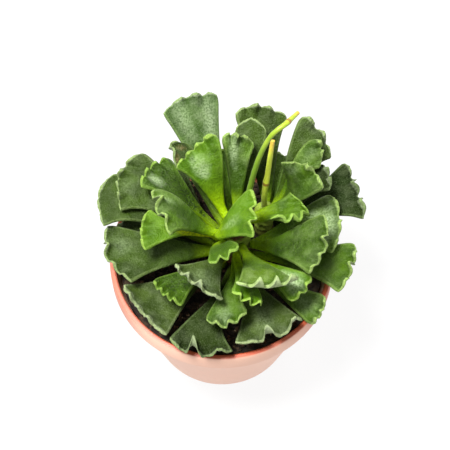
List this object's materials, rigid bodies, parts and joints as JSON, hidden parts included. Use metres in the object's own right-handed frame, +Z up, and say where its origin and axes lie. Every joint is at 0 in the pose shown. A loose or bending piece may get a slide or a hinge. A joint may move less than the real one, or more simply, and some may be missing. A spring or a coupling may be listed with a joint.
{
  "type": "potted crinkle-leaf plant",
  "caption": "Small succulent with thick wedge-shaped leaves, waved at their outer margin, and two bare flower stalks, in a round tapered terracotta-coloured plastic pot with soil.",
  "frame": {"origin": "centre of the flat underside of the pot", "axes": "+Z up along the pot's axis, +X to the plant's right as the picture shows it, +Y away from its front"},
  "size_m": [0.1014, 0.1013, 0.1246],
  "materials": {
    "pot": "satin moulded plastic, terracotta colour",
    "soil": "crumbly dark potting soil",
    "stem": "rough reddish brown bark",
    "stalk": "smooth yellow-green stalk",
    "leaf_young": "bright green, finely hairy, satin",
    "leaf_grown": "mid green, finely hairy, satin",
    "leaf_old": "dark grey-green, finely hairy"
  },
  "bodies": {
    "root": {"pot": "pot", "soil": "soil", "main_stem": "stem", "side_stem": "stem", "flower_stalk_front": "stalk", "flower_stalk_back": "stalk", "leaf_01": "leaf_old", "leaf_02": "leaf_grown", "leaf_03": "leaf_old", "leaf_04": "leaf_old", "leaf_05": "leaf_young", "leaf_06": "leaf_grown", "leaf_07": "leaf_old", "leaf_08": "leaf_old", "leaf_09": "leaf_old", "leaf_10": "leaf_old", "leaf_11": "leaf_grown", "leaf_12": "leaf_old", "leaf_13": "leaf_old", "leaf_14": "leaf_old", "leaf_15": "leaf_young", "leaf_16": "leaf_young", "leaf_17": "leaf_grown", "leaf_18": "leaf_grown", "leaf_19": "leaf_grown", "leaf_20": "leaf_old", "leaf_21": "leaf_old", "leaf_22": "leaf_old", "leaf_23": "leaf_old", "leaf_24": "leaf_grown", "leaf_25": "leaf_young", "leaf_26": "leaf_young", "leaf_27": "leaf_old", "leaf_28": "leaf_grown", "leaf_29": "leaf_old", "leaf_30": "leaf_old", "leaf_31": "leaf_young", "leaf_32": "leaf_grown", "leaf_33": "leaf_grown", "leaf_34": "leaf_old", "leaf_35": "leaf_old", "leaf_36": "leaf_old", "leaf_37": "leaf_old"}
  },
  "joints": []
}
